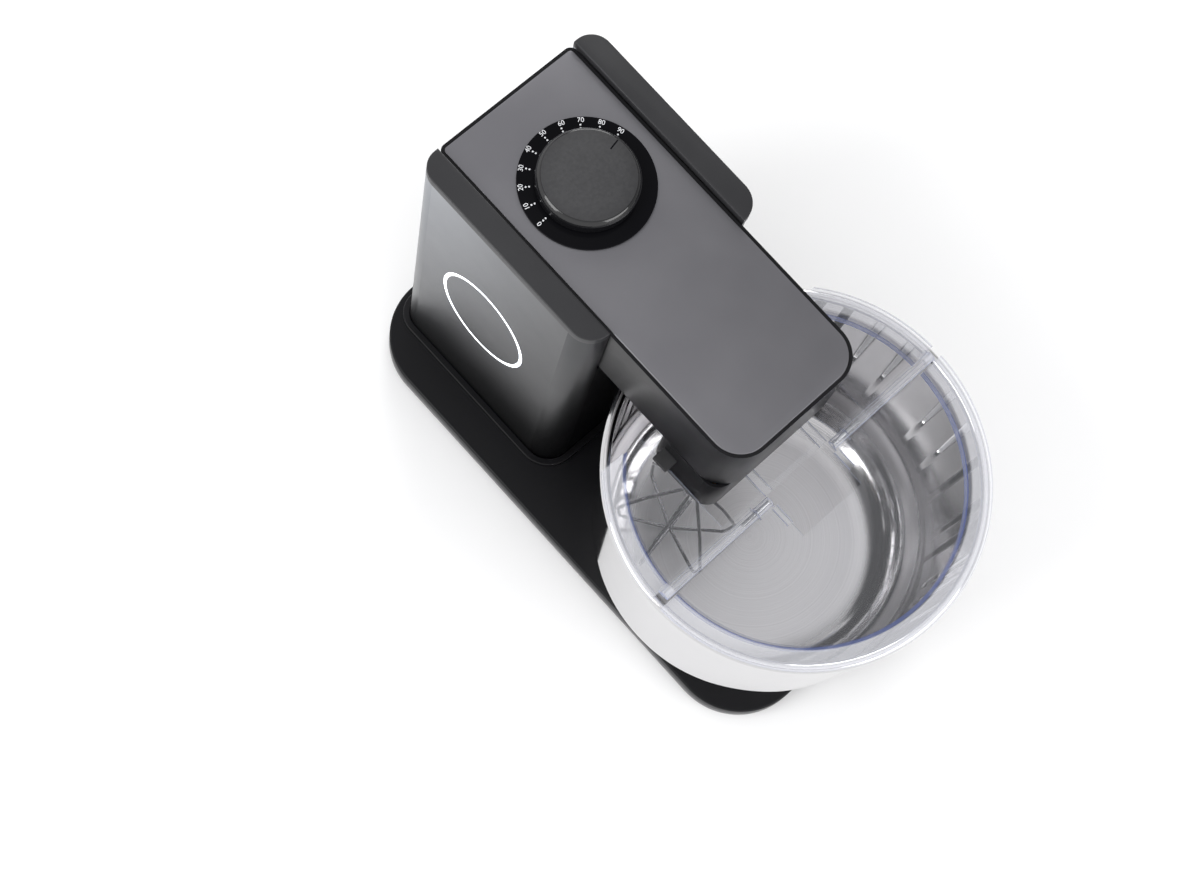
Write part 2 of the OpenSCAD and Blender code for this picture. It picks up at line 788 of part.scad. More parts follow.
fan_blades = 9;
fan_h = 9;
fan_disc_t = 1.5;
fan_blade_t = 1.6;
module cooling_fan() {
    z0 = motor_z0 + motor_h - 14;
    color("#2a2b2e") translate([motor_c[0], motor_c[1], z0]) difference() {
        union() {
            cylinder(r = hub_r, h = fan_h);
            cylinder(r = fan_r, h = fan_disc_t);
            for (k = [0:fan_blades - 1]) rotate([0, 0, 360 * k / fan_blades])
                translate([axle_r + 2, -fan_blade_t / 2, 1]) cube([fan_r - hub_r, fan_blade_t, fan_h - 1]);
        }
        translate([0, 0, -eps]) cylinder(r = axle_r, h = fan_h + 2 * eps);
    }
}

module first_gear() {
    color("#c9c2a4") difference() {
        union() {
            gear(first_c, teeth_first, module_first, motor_dir + 180 / teeth_first, gear_z[2]);
            gear(first_c, teeth_first_small, module_second, first_dir + 180, gear_z[1]);
            rod(first_c, hub_r, gear_z[0] - 0.8, gear_z[2] + eps);
        }
        rod(first_c, axle_r + run, floor_z, panel_z0);
    }
}

module second_gear() {
    color("#b9bcc0") difference() {
        union() {
            gear(second_c, teeth_second, module_second, first_dir + 180 / teeth_second, gear_z[1]);
            gear(second_c, teeth_second_small, module_last, second_dir + 180, gear_z[0]);
            rod(second_c, hub_r, gear_z[0], gear_z[1] + eps);
        }
        rod(second_c, axle_r + run, floor_z, panel_z0);
    }
}

module spindle_gear() {
    color("#b9bcc0") difference() {
        gear(tool, teeth_spindle, module_last, second_dir + 180 / teeth_spindle, gear_z[0]);
        rod(tool, spindle_top_r, gear_z[0] - eps, gear_z[0] + gear_face + eps);
    }
}

spindle_top_r = 5;
slot_h = 2 * (pin_r + pin_gap);
slot_past = 20;
module spindle() {
    color("#a8abae") difference() {
        union() {
            rod(tool, spindle_r, spindle_z0, gear_z[0] - 0.5);
            rod(tool, spindle_top_r, spindle_z0, spindle_z1);
        }
        rod(tool, shank_r + run, spindle_z0 - eps, spindle_z0 + socket_depth);
        // bayonet slots: in from below, then round
        for (s = [0, 180]) translate([tool[0], tool[1], 0]) {
            rotate([0, 0, s + twist_angle]) translate([0, -pin_r - pin_gap, spindle_z0 - eps])
                cube([spindle_r + 1, slot_h, pin_z - spindle_z0 + eps]);
            slab(pin_z - slot_h / 2, pin_z + slot_h / 2)
                polygon(wedge(s - slot_past, s + twist_angle + slot_past, spindle_r + 2));
        }
    }
}

module spindle_bush() {
    color("#c9a35a") translate([tool[0], tool[1], 0]) {
        ring(spindle_r + low_bush_wall, spindle_r + run, chin_z0, chin_z0 + low_bush_h);
        ring(spindle_r + bush_wall, spindle_r + run, head_z0, floor_z);
    }
}

// ---- Whisk ----
cross_pin_x = spindle_r - 0.4;
module whisk_shank() {
    color("#c8cacc") {
        rod(tool, shank_r, ferrule_z0 + 8, spindle_z0 + socket_depth - 2);
        cross_rod(tool[0] - cross_pin_x, tool[0] + cross_pin_x, tool[1], pin_z, pin_r);
        translate([tool[0], tool[1], ferrule_z0])
            cylinder(r1 = ferrule_r - 2, r2 = ferrule_r, h = ferrule_h);
        rod(tool, ferrule_r, ferrule_z0 + ferrule_h, ferrule_z0 + ferrule_h + 4);
    }
}

// Half outline of one wire loop: the radius and the height of each bend
loop_turn = 10;
loop_points = [[5, 0, ferrule_z0 + 3], [whisk_r * 0.62, 0, ferrule_z0 - 38],
               [whisk_r, 0, whisk_z0 + 34], [whisk_r * 0.9, 0, whisk_z0 + 14], [0, 0, whisk_z0]];

module wire_piece(a, b) {
    d = b - a;
    translate(a) rotate([0, acos(d[2] / norm(d)), atan2(d[1], d[0])])
        cylinder(r = wire_r, h = norm(d), $fn = wire_fn);
}

module whisk_wires() {
    last = len(loop_points) - 1;
    color("#dcdee0") translate([tool[0], tool[1], 0])
        for (k = [0:2 * loops - 1]) rotate([0, 0, 180 * k / loops + loop_turn]) {
            for (j = [0:last - 1]) wire_piece(loop_points[j], loop_points[j + 1]);
            for (j = [1:last - 1]) translate(loop_points[j]) sphere(wire_r * 1.06, $fn = wire_fn);
        }
    color("#dcdee0") translate([tool[0], tool[1], whisk_z0]) sphere(wire_r * 1.6, $fn = wire_fn);
}

// ---- Controls ----
sensor_z0 = panel_z0 - 15;
sensor_size = [22, 22, 10];
control_board_size = [84, 46, board_t];
module control_board() {
    color("#1f6b3a") difference() {
        translate([-control_board_size[0] / 2, dial_y - control_board_size[1] / 2, sensor_z0 - board_t])
            cube(control_board_size);
        rod([0, dial_y], axle_r + 1, sensor_z0 - 5, sensor_z0 + 5);
    }
}

module speed_sensor() {
    color("#3b5f8f") difference() {
        translate([-sensor_size[0] / 2, dial_y - sensor_size[1] / 2, sensor_z0]) cube(sensor_size);
        rod([0, dial_y], axle_r + run, sensor_z0 - eps, sensor_z0 + sensor_size[2] + eps);
    }
}

dial_t = 1.5;
module dial_ring() {
    color("#08080a") translate([0, dial_y, 0]) ring(dial_r, axle_r + run, head_z1, head_z1 + dial_t);
}

knob_z0 = head_z1 + dial_t + air;
knob_foot_r = knob_r + 1.5;
knob_bevel = 4;
mark_turn = 11.5;
mark_in = 9.5;
mark_len = 7.5;
mark_w = 2;
mark_deep = 1;
module speed_knob() {
    color("#26272a") translate([0, dial_y, knob_z0]) difference() {
        union() {
            cylinder(r = knob_foot_r, h = knob_h - knob_bevel);
            translate([0, 0, knob_h - knob_bevel])
                cylinder(r1 = knob_foot_r, r2 = knob_r - 1, h = knob_bevel);
        }
        translate([0, 0, -eps]) cylinder(r = axle_r, h = knob_h - 3);
        rotate([0, 0, mark_turn]) translate([knob_r - mark_in, -mark_w / 2, knob_h - mark_deep])
            cube([mark_len, mark_w, 2 * mark_deep]);
    }
}

module knob_shaft() {
    color("#c8cacc") rod([0, dial_y], axle_r, sensor_z0 - 1, knob_z0 + knob_h - 3.5);
}

// ---- Splash guard ----
module guard_sheet(front) {
    intersection() {
        union() {
            translate([0, bowl_y, guard_z0]) cylinder(r = guard_r, h = guard_t, $fn = bowl_fn);
            translate([0, bowl_y, 0])
                ring(skirt_r, skirt_r - guard_t, guard_z0 - skirt_drop, guard_z0 + eps);
        }
        translate([-bowl_r, front ? bowl_y - bowl_r : hinge_y + sheet_gap, 0])
            cube([2 * bowl_r, front ? bowl_r - sheet_gap - 0.5 : guard_back - sheet_gap, guard_z1 + 1]);
    }
}

module barrel(x0, x1, side) {
    for (s = [-1, 1]) {
        a = min(s * x0, s * x1);
        cross_rod(a, a + x1 - x0, hinge_y, hinge_z, barrel_r);
        translate([a, side > 0 ? hinge_y : hinge_y - sheet_gap - 1, guard_z0])
            cube([x1 - x0, sheet_gap + 1, hinge_z - guard_z0]);
    }
}

module guard_rear() {
    color("#cfd6ee", 0.35) difference() {
        union() {
            difference() {
                guard_sheet(false);
                translate([-cut_w / 2, hinge_y + sheet_gap + 4, guard_z0 - 2 * skirt_drop])
                    cube([cut_w, guard_back, 4 * skirt_drop]);
            }
            barrel(barrel_x[1] + slip, guard_end_x, 1);
            for (s = [-1, 1]) translate([s * arm_x - arm_w / 2, hinge_y + sheet_gap, guard_z0])
                cube([arm_w, chin_y0 - hinge_y - sheet_gap, arm_h]);
        }
        cross_rod(-bowl_r, bowl_r, hinge_y, hinge_z, guard_pin_r);
    }
}

module guard_clips() {
    color("#1a1d24") for (s = [-1, 1])
        translate([s * (chin_w + clip_size[0]) / 2 - clip_size[0] / 2, chin_y1 - 20, guard_z1])
            cube(clip_size);
}

rib_y = hinge_y - sheet_gap - 0.5 - rib_size[1];
module guard_flap() {
    color("#cfd6ee", 0.35) difference() {
        union() {
            difference() {
                guard_sheet(true);
                translate([-notch_w / 2, hinge_y - notch_len, guard_z0 - 2 * skirt_drop])
                    cube([notch_w, notch_len, 4 * skirt_drop]);
            }
            barrel(barrel_x[0], barrel_x[1], -1);
            for (s = [-1, 1])
                translate([s * (notch_w + rib_size[0]) / 2 - rib_size[0] / 2, rib_y, guard_z1 - eps])
                    cube(rib_size);
        }
        cross_rod(-bowl_r, bowl_r, hinge_y, hinge_z, guard_pin_r + run);
    }
}

module guard_hinge_pins() {
    color("#c8cacc") for (s = [-1, 1]) {
        x0 = s > 0 ? barrel_x[0] + 1 : -barrel_x[1] - pin_past - 1;
        cross_rod(x0, x0 + barrel_x[1] - barrel_x[0] + pin_past, hinge_y, hinge_z, guard_pin_r);
    }
}

// ---- Head lock ----
lock_knob_x = column_w / 2 + lock_travel + lock_gap;
module lock_knob() {
    color("#26272a") cross_rod(lock_knob_x, lock_knob_x + lock_knob_t, lock_y, lock_z, lock_knob_r);
}

module lock_bolt() {
    color("#c8cacc") cross_rod(slot_w / 2 + 0.5, lock_knob_x, lock_y, lock_z, lock_r);
}

base_cover();
base_plate();
rubber_feet();
plate_screws();
column_plinth();
column_shell();
cheek_cap(-1);  // cheek_cap_left
cheek_cap(1);  // cheek_cap_right
badge_plate();
badge_light_ring();
rest_pads();
hinge_pin();
balance_spring();
power_inlet();
vent_grille();
power_board();
bowl_motor();
bowl_motor_shaft();
small_pulley();
drive_belt();
turntable_bearing();
turntable();
large_pulley();
bowl();
bowl_foot_ring();
head_shell();
head_panel();
gearbox_cover();
gearbox_plate();
gear_axles();
hinge_bushes();
panel_screws();
head_motor();
motor_shaft();
motor_pinion();
cooling_fan();
first_gear();
second_gear();
spindle();
spindle_gear();
spindle_bush();
whisk_shank();
whisk_wires();
control_board();
speed_sensor();
dial_ring();
speed_knob();
knob_shaft();
guard_rear();
guard_clips();
guard_flap();
guard_hinge_pins();
lock_knob();
lock_bolt();
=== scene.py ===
"""Stand mixer: smooth outer pieces, finishes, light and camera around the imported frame."""

import json
import math

import bmesh
import bpy
from mathutils import Matrix, Vector


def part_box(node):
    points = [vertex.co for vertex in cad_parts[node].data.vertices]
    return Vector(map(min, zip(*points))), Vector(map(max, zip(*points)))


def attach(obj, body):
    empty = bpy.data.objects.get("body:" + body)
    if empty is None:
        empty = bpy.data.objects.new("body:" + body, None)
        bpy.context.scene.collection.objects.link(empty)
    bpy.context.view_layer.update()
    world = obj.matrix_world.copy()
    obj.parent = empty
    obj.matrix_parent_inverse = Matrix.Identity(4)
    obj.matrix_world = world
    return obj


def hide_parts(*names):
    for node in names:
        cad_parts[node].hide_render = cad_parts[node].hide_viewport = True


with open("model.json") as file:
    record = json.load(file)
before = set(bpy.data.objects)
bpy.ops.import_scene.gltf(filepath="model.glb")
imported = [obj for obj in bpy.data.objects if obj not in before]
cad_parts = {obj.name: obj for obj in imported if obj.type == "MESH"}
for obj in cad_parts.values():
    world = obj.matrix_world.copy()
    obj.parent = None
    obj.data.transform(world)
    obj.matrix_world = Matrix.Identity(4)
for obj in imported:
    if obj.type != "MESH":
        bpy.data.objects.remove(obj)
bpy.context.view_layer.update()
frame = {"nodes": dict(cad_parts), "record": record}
nodes = frame["nodes"]
MM = 0.001


# ---------------------------------------------------------------- shader kit
class Wire:
    """A socket that can be written into Python arithmetic."""

    def __init__(self, finish, socket):
        self.finish = finish
        self.socket = socket

    def math(self, operation, *values):
        made = self.finish.node("ShaderNodeMath", {"operation": operation}, dict(enumerate(values)))
        return Wire(self.finish, made.outputs[0])

    def __add__(self, other):
        return self.math("ADD", self, other)

    def __sub__(self, other):
        return self.math("SUBTRACT", self, other)

    def __rsub__(self, other):
        return self.math("SUBTRACT", other, self)

    def __mul__(self, other):
        return self.math("MULTIPLY", self, other)

    def __truediv__(self, other):
        return self.math("DIVIDE", self, other)

    def __pow__(self, other):
        return self.math("POWER", self, other)

    def __abs__(self):
        return self.math("ABSOLUTE", self)

    __radd__ = __add__
    __rmul__ = __mul__

    def clamp(self, low=0.0, high=1.0):
        return self.math("MINIMUM", self.math("MAXIMUM", self, low), high)

    def ramp(self, low, high):
        """0 at low, 1 at high, straight between."""
        return ((self - low) / (high - low)).clamp()


class Finish:
    """One material on a Principled shader."""

    def __init__(self, name, **constants):
        self.material = bpy.data.materials.new(name)
        self.material.use_nodes = True
        self.tree = self.material.node_tree
        self.shader = self.tree.nodes["Principled BSDF"]
        for key, value in constants.items():
            self.shader.inputs[key.replace("_", " ")].default_value = value
        self.place = Wire(self, self.node("ShaderNodeTexCoord").outputs["Object"])

    def node(self, kind, settings=None, inputs=None):
        made = self.tree.nodes.new(kind)
        for key, value in (settings or {}).items():
            setattr(made, key, value)
        for key, value in (inputs or {}).items():
            if isinstance(value, Wire):
                self.tree.links.new(value.socket, made.inputs[key])
            else:
                made.inputs[key].default_value = value
        return made

    def axis(self, name, source=None):
        split = self.node("ShaderNodeSeparateXYZ", None, {0: source or self.place})
        return Wire(self, split.outputs[name])

    def noise(self, scale, detail=3.0, stretch=(1, 1, 1)):
        spread = self.node("ShaderNodeMapping", None, {"Vector": self.place, "Scale": stretch})
        made = self.node("ShaderNodeTexNoise", None,
                         {"Vector": Wire(self, spread.outputs[0]), "Scale": scale, "Detail": detail})
        return Wire(self, made.outputs[0])

    def blend(self, mask, low, high):
        made = self.node("ShaderNodeMix", {"data_type": "RGBA"}, {0: mask, 6: low, 7: high})
        return Wire(self, made.outputs[2])

    def set(self, name, wire):
        self.tree.links.new(wire.socket, self.shader.inputs[name])
        return self

    def bump(self, height, strength, distance=0.0002):
        made = self.node("ShaderNodeBump", None, {"Height": height, "Strength": strength, "Distance": distance})
        self.tree.links.new(made.outputs[0], self.shader.inputs["Normal"])
        return self


def painted(name, low, high, roughness, grain=900, metallic=0.0, bump=0.12, coat=0.0, sheen=0.5):
    """Sprayed metal: fine orange peel, slow colour drift, faint wiped patches."""
    made = Finish(name, Metallic=metallic, Coat_Weight=coat, Coat_Roughness=0.15, Specular_IOR_Level=sheen)
    drift = made.noise(14, 4).ramp(0.35, 0.65)
    fleck = made.noise(grain * 3, 1).ramp(0.3, 0.7)
    made.set("Base Color", made.blend((drift * 0.7 + fleck * 0.3).clamp(), low, high))
    made.set("Roughness", made.noise(40, 5) * 0.12 + (roughness - 0.06))
    return made.bump(made.noise(grain, 2), bump)


def moulded(name, low, high, roughness, grain=1500, bump=0.2):
    """Moulded plastic or rubber with a fine spark-eroded grain."""
    made = Finish(name)
    made.set("Base Color", made.blend(made.noise(60, 3).ramp(0.3, 0.7), low, high))
    made.set("Roughness", made.noise(200, 4) * 0.2 + (roughness - 0.1))
    return made.bump(made.noise(grain, 3), bump)


def drawn_steel(name, low, high, roughness, stretch=(1, 1, 12), bump=0.15):
    """Turned or drawn metal: fine lines across the axis that is squeezed."""
    made = Finish(name, Metallic=1.0)
    line = made.noise(160, 4, stretch)
    made.set("Base Color", made.blend(line.ramp(0.3, 0.7), low, high))
    made.set("Roughness", line * 0.15 + (roughness - 0.07))
    return made.bump(line, bump, 0.0001)


def column_paint():
    """Grey metallic paint with painted shade: its colour darkens towards the foot and towards the bowl, and its fleck
    fades towards the bowl.
    """
    made = Finish("column_paint", Metallic=0.85, Coat_Weight=0.08, Coat_Roughness=0.12)
    low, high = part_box("column_shell")
    # painted shade: darker low down and towards the bowl, in place of the black base and dark surroundings the column
    # reflects
    painted_light_by_height = made.axis("Z").ramp(low[2], high[2]) ** 1.3
    painted_light_towards_rear = made.axis("Y").ramp(low[1], high[1]) ** 1.4
    shade = made.blend(painted_light_by_height * (painted_light_towards_rear * 0.75 + 0.07), (0.005, 0.005, 0.006, 1), (0.33, 0.345, 0.375, 1))
    fleck = made.noise(2600, 1).ramp(0.35, 0.75)
    made.set("Base Color", made.blend(fleck * 0.12 * painted_light_towards_rear, shade, (0.42, 0.43, 0.46, 1)))
    made.set("Roughness", made.noise(30, 5) * 0.1 + 0.27)
    return made.bump(made.noise(1100, 2), 0.08)


def spun_steel(centre):
    """Bowl steel: mirror outside, concentric spinning marks inside, and painted light on up-facing faces, which get a
    much brighter steel colour than the walls.
    """
    made = Finish("spun_steel", Metallic=1.0)
    radius = (made.axis("X") ** 2.0 + (made.axis("Y") - centre) ** 2.0) ** 0.5
    run = (radius + made.axis("Z")) * 900.0
    ring = made.node("ShaderNodeTexNoise", {"noise_dimensions": "1D"}, {"W": run, "Scale": 1.0, "Detail": 4.0})
    ring = Wire(made, ring.outputs[0])
    facing = Wire(made, made.node("ShaderNodeTexCoord").outputs["Normal"])
    outward = made.axis("X") * made.axis("X", facing) + (made.axis("Y") - centre) * made.axis("Y", facing)
    inside = (outward * -20.0 + made.axis("Z", facing).ramp(0.3, 0.6)).clamp()
    flat = made.axis("Z", facing).ramp(0.93, 0.99)
    dull = made.blend(ring.ramp(0.3, 0.7), (0.52, 0.52, 0.53, 1), (0.64, 0.63, 0.64, 1))
    # painted light: up-facing faces, chiefly the bowl's floor, are coloured far brighter, standing in for the overhead
    # light they reflect
    painted_light_floor_steel = made.blend(ring.ramp(0.3, 0.7), (0.90, 0.89, 0.90, 1), (0.99, 0.98, 0.99, 1))
    made.set("Base Color", made.blend(flat, dull, painted_light_floor_steel))
    made.set("Roughness", (ring * 0.14 + 0.20) * flat + inside * 0.05 + made.noise(25, 4) * 0.05 + 0.03)
    return made.bump(ring * (flat * 0.8 + inside * 0.12), 0.25, 0.0002)


def clear_guard(centre, lip, foot, top):
    """Clear moulding: faint on its faces, frosted on its lip, blue along its edges and lowest line."""
    made = Finish("clear_guard", IOR=1.49)
    radius = (made.axis("X") ** 2.0 + (made.axis("Y") - centre) ** 2.0) ** 0.5
    frost = radius.ramp(lip, lip + 0.0008)
    facing = Wire(made, made.node("ShaderNodeTexCoord").outputs["Normal"])
    edge = 1.0 - abs(made.axis("Z", facing)).ramp(0.2, 0.9)
    line = (1.0 - made.axis("Z").ramp(foot + 0.0010, foot + 0.0014)) * made.noise(40, 2).ramp(-0.2, 0.3)
    raised = made.axis("Z").ramp(top + 0.0002, top + 0.0006)
    tint = made.blend(edge, (0.94, 0.95, 1.0, 1), (0.34, 0.37, 0.50, 1))
    made.set("Base Color", made.blend(line, tint, (0.13, 0.19, 0.50, 1)))
    made.set("Roughness", made.noise(80, 3) * 0.06 + frost * 0.2 + 0.02)
    made.set("Alpha", (edge * (raised * 0.35 + 0.28) + line * 0.55 + frost * 0.2 + raised * 0.06 + 0.04).clamp())
    return made


def knob_paint():
    """Gloss black with a dark grey satin top."""
    made = painted("knob_paint", (0.004, 0.004, 0.005, 1), (0.008, 0.008, 0.009, 1), 0.1, coat=0.3, sheen=0.4)
    facing = Wire(made, made.node("ShaderNodeTexCoord").outputs["Normal"])
    top = made.axis("Z", facing).ramp(0.97, 0.995)
    satin = made.blend(made.noise(500, 3).ramp(0.3, 0.7), (0.030, 0.030, 0.032, 1), (0.040, 0.040, 0.042, 1))
    made.set("Base Color", made.blend(top, (0.006, 0.006, 0.007, 1), satin))
    made.set("Roughness", top * 0.38 + made.noise(60, 3) * 0.04 + 0.06)
    return made


def base_paint(foot):
    """Satin black with a lighter grey band low on the side."""
    made = painted("base_black", (0.004, 0.004, 0.005, 1), (0.008, 0.008, 0.009, 1), 0.34, sheen=0.16)
    band = 1.0 - made.axis("Z").ramp(foot + 0.0055, foot + 0.0065)
    made.set("Base Color", made.blend(band, (0.006, 0.006, 0.007, 1), (0.09, 0.09, 0.095, 1)))
    return made


def lamp_strip():
    made = Finish("lit_line", Emission_Strength=2.2, Roughness=0.4)
    glow = made.noise(60, 2).ramp(0.2, 0.8)
    made.set("Base Color", made.blend(glow, (0.8, 0.88, 1, 1), (1, 1, 1, 1)))
    made.set("Emission Color", made.blend(glow, (0.82, 0.9, 1, 1), (1, 1, 1, 1)))
    return made


bowl_lo, bowl_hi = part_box("bowl")
bowl_y = (bowl_lo[1] + bowl_hi[1]) / 2

FINISHES = {
    "body_black": painted("satin_black", (0.004, 0.004, 0.005, 1), (0.008, 0.008, 0.009, 1), 0.32, sheen=0.22),
    "cap_black": painted("cap_black", (0.016, 0.016, 0.018, 1), (0.024, 0.024, 0.026, 1), 0.4, sheen=0.42),
    "body_grey": column_paint(),
    "panel_grey": painted("satin_grey", (0.182, 0.180, 0.194, 1), (0.212, 0.210, 0.224, 1), 0.36, metallic=0.75),
    "wire_steel": drawn_steel("wire_steel", (0.16, 0.16, 0.17, 1), (0.28, 0.28, 0.29, 1), 0.22),
    "steel": drawn_steel("drawn_steel", (0.45, 0.46, 0.48, 1), (0.66, 0.67, 0.69, 1), 0.28),
    "polished_steel": spun_steel(bowl_y),
    "clear": clear_guard(bowl_y, 0.111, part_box("guard_rear")[0][2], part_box("guard_clips")[0][2]),
    "gloss_black": painted("gloss_black", (0.002, 0.002, 0.003, 1), (0.004, 0.004, 0.005, 1), 0.12, bump=0.03, sheen=0.08),
    "black_plastic": moulded("black_moulding", (0.018, 0.018, 0.019, 1), (0.035, 0.035, 0.037, 1), 0.5),
    "rubber": moulded("foot_rubber", (0.012, 0.012, 0.012, 1), (0.028, 0.028, 0.028, 1), 0.75, bump=0.35),
    "bearing_bronze": drawn_steel("bearing_bronze", (0.48, 0.30, 0.13, 1), (0.66, 0.45, 0.22, 1), 0.3),
    "gear_plastic": moulded("gear_moulding", (0.62, 0.57, 0.43, 1), (0.74, 0.69, 0.55, 1), 0.45),
    "board": moulded("board_mask", (0.02, 0.14, 0.06, 1), (0.03, 0.22, 0.10, 1), 0.35),
    "light": lamp_strip(),
    "cast": painted("cast_alloy", (0.42, 0.43, 0.45, 1), (0.55, 0.56, 0.58, 1), 0.5, grain=500, metallic=0.9, bump=0.4),
}

FINISHES["knob_black"] = knob_paint()
FINISHES["base_black"] = base_paint(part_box("base_cover")[0][2])

for part in frame["record"]["subparts"]:
    held = nodes[part["node"]]
    held.data.materials.clear()
    held.data.materials.append(FINISHES[part["material_slot"]].material)


def finish_piece(bm, name, body, slot, *stands_for, angle=40):
    """Closes a bmesh into a piece that rides on a body."""
    bmesh.ops.remove_doubles(bm, verts=bm.verts, dist=1e-6)
    bmesh.ops.recalc_face_normals(bm, faces=bm.faces)
    mesh = bpy.data.meshes.new(name)
    bm.to_mesh(mesh)
    bm.free()
    mesh.polygons.foreach_set("use_smooth", [True] * len(mesh.polygons))
    mesh.set_sharp_from_angle(angle=math.radians(angle))
    piece = bpy.data.objects.new(name, mesh)
    bpy.context.scene.collection.objects.link(piece)
    mesh.materials.append(FINISHES[slot].material)
    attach(piece, body)
    if stands_for:
        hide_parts(*stands_for)
    return piece


def bevel(bm, edges, offset, segments):
    bmesh.ops.bevel(bm, geom=edges, offset=offset, offset_type="OFFSET", segments=segments,
                    profile=0.5, affect="EDGES", material=-1, clamp_overlap=True)


def block(low, high):
    bm = bmesh.new()
    size = [b - a for a, b in zip(low, high)]
    middle = [(a + b) / 2 for a, b in zip(low, high)]
    bmesh.ops.create_cube(bm, size=1, matrix=Matrix.Translation(middle) @ Matrix.Diagonal((*size, 1)))
    return bm


def upright(bm, test):
    """Vertical edges whose middle passes a test."""
    return [e for e in bm.edges
            if abs(e.verts[0].co.z - e.verts[1].co.z) > 1e-4 and test((e.verts[0].co + e.verts[1].co) / 2)]


def level(bm, z):
    """Edges round the outside at one height."""
    return [e for e in bm.edges if all(abs(v.co.z - z) < 1e-6 for v in e.verts)
            and any(abs(f.normal.z) < 0.5 for f in e.link_faces)]


def rounded_slab(low, high, front, rear, top_edge, foot_edge, arc=14):
    bm = block(low, high)
    middle = (low[1] + high[1]) / 2
    bevel(bm, upright(bm, lambda p: p.y < middle), front, arc)
    bevel(bm, upright(bm, lambda p: p.y > middle and abs(p.y - high[1]) < 1e-5), rear, arc)
    bm.normal_update()
    if top_edge:
        bevel(bm, level(bm, high[2]), top_edge, 3)
        bm.normal_update()
    if foot_edge:
        bevel(bm, level(bm, low[2]), foot_edge, 3)
    return bm


def turned(profile, centre, steps=128):
    """Spins an open profile of (radius, height) round a vertical axis."""
    bm = bmesh.new()
    verts = [bm.verts.new((centre[0] + r, centre[1], z)) for r, z in profile]
    edges = [bm.edges.new(pair) for pair in zip(verts, verts[1:])]
    bmesh.ops.spin(bm, geom=verts + edges, cent=(centre[0], centre[1], 0), axis=(0, 0, 1),
                   angle=math.tau, steps=steps, use_merge=True)
    return bm


def drilled(piece, holes):
    """Cuts round holes, each given as its middle, axis, radius and length."""
    bits = bmesh.new()
    for place, axis, radius, length in holes:
        lean = Vector(axis).to_track_quat("Z", "Y").to_matrix().to_4x4()
        bmesh.ops.create_cone(bits, cap_ends=True, segments=64, radius1=radius, radius2=radius,
                              depth=length, matrix=Matrix.Translation(place) @ lean)
    mesh = bpy.data.meshes.new("drill")
    bits.to_mesh(mesh)
    bits.free()
    drill = bpy.data.objects.new("drill", mesh)
    bpy.context.scene.collection.objects.link(drill)
    cut = piece.modifiers.new("holes", "BOOLEAN")
    cut.object = drill
    cut.solver = "EXACT"
    bpy.context.view_layer.update()
    done = bpy.data.meshes.new_from_object(piece.evaluated_get(bpy.context.evaluated_depsgraph_get()))
    piece.modifiers.clear()
    piece.data = done
    done.set_sharp_from_angle(angle=math.radians(40))
    bpy.data.objects.remove(drill)


def hole_at(node, grow=0.0):
    """Middle and radius of a round CAD part, seen along its length."""
    low, high = (Vector(corner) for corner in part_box(node))
    return (low + high) / 2, min(high - low) / 2 + grow


# ---------------------------------------------------------------- base and column
lo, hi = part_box("base_cover")
finish_piece(rounded_slab(lo, hi, 50 * MM, 50 * MM, 1.6 * MM, 1.0 * MM, 24), "base_body", "stand", "base_black", "base_cover")

for side in ("left", "right"):
    lo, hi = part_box("cheek_cap_" + side)
    cap = block(lo, hi)
    outer = lo[0] if side == "left" else hi[0]
    for y, radius in ((lo[1], 16 * MM), (hi[1], 14 * MM)):
        bevel(cap, upright(cap, lambda p: abs(p.x - outer) < 1e-5 and abs(p.y - y) < 1e-5), radius, 14)
    cap.normal_update()
    bevel(cap, level(cap, hi[2]), 1.0 * MM, 3)
    finish_piece(cap, "cheek_top_" + side, "stand", "cap_black", "cheek_cap_" + side)

# ---------------------------------------------------------------- head
lo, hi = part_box("head_shell")
shell = rounded_slab(lo, hi, 22 * MM, 5 * MM, 0, 3 * MM)
shell.normal_update()
lid = [f for f in shell.faces if f.normal.z > 0.9 and f.calc_center_median().z > hi[2] - 1e-5]
bmesh.ops.inset_region(shell, faces=lid, thickness=2 * MM, use_even_offset=True)
down = bmesh.ops.extrude_face_region(shell, geom=lid)
bmesh.ops.translate(shell, vec=(0, 0, -(hi[2] - lo[2] - 2.5 * MM)), verts=[v for v in down["geom"] if isinstance(v, bmesh.types.BMVert)])
bmesh.ops.delete(shell, geom=lid, context="FACES")
head_body = finish_piece(shell, "head_body", "head", "body_black", "head_shell")
bolt, bolt_r = hole_at("lock_bolt", 0.3 * MM)
pin, pin_r = hole_at("hinge_bushes")
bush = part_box("spindle_bush")
bush_r = (bush[1][0] - bush[0][0]) / 2
drilled(head_body, [
    ((hi[0], bolt.y, bolt.z), (1, 0, 0), bolt_r, 12 * MM),
    ((0, pin.y, pin.z), (1, 0, 0), pin_r, 140 * MM),
    (((bush[0][0] + bush[1][0]) / 2, (bush[0][1] + bush[1][1]) / 2, lo[2]), (0, 0, 1), bush_r, 10 * MM),
])

lo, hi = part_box("head_panel")
finish_piece(rounded_slab(lo, hi, 20 * MM, 3 * MM, 0.5 * MM, 0), "head_top", "head", "panel_grey", "head_panel")

# ---------------------------------------------------------------- knob
lo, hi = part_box("speed_knob")
dial = ((lo[0] + hi[0]) / 2, (lo[1] + hi[1]) / 2)
reach = (hi[0] - lo[0]) / 2
knob_top = hi[2] - 0.05 * MM
cap = [(0, knob_top), (reach - 3.2 * MM, knob_top), (reach - 2.4 * MM, hi[2] - 0.3 * MM), (reach - 0.3 * MM, hi[2] - 3.4 * MM),
       (reach, hi[2] - 4.2 * MM), (reach, lo[2] + 0.4 * MM), (reach - 0.4 * MM, lo[2]), (0, lo[2])]
finish_piece(turned(cap, dial), "dial_knob", "speed_knob", "knob_black", "speed_knob")

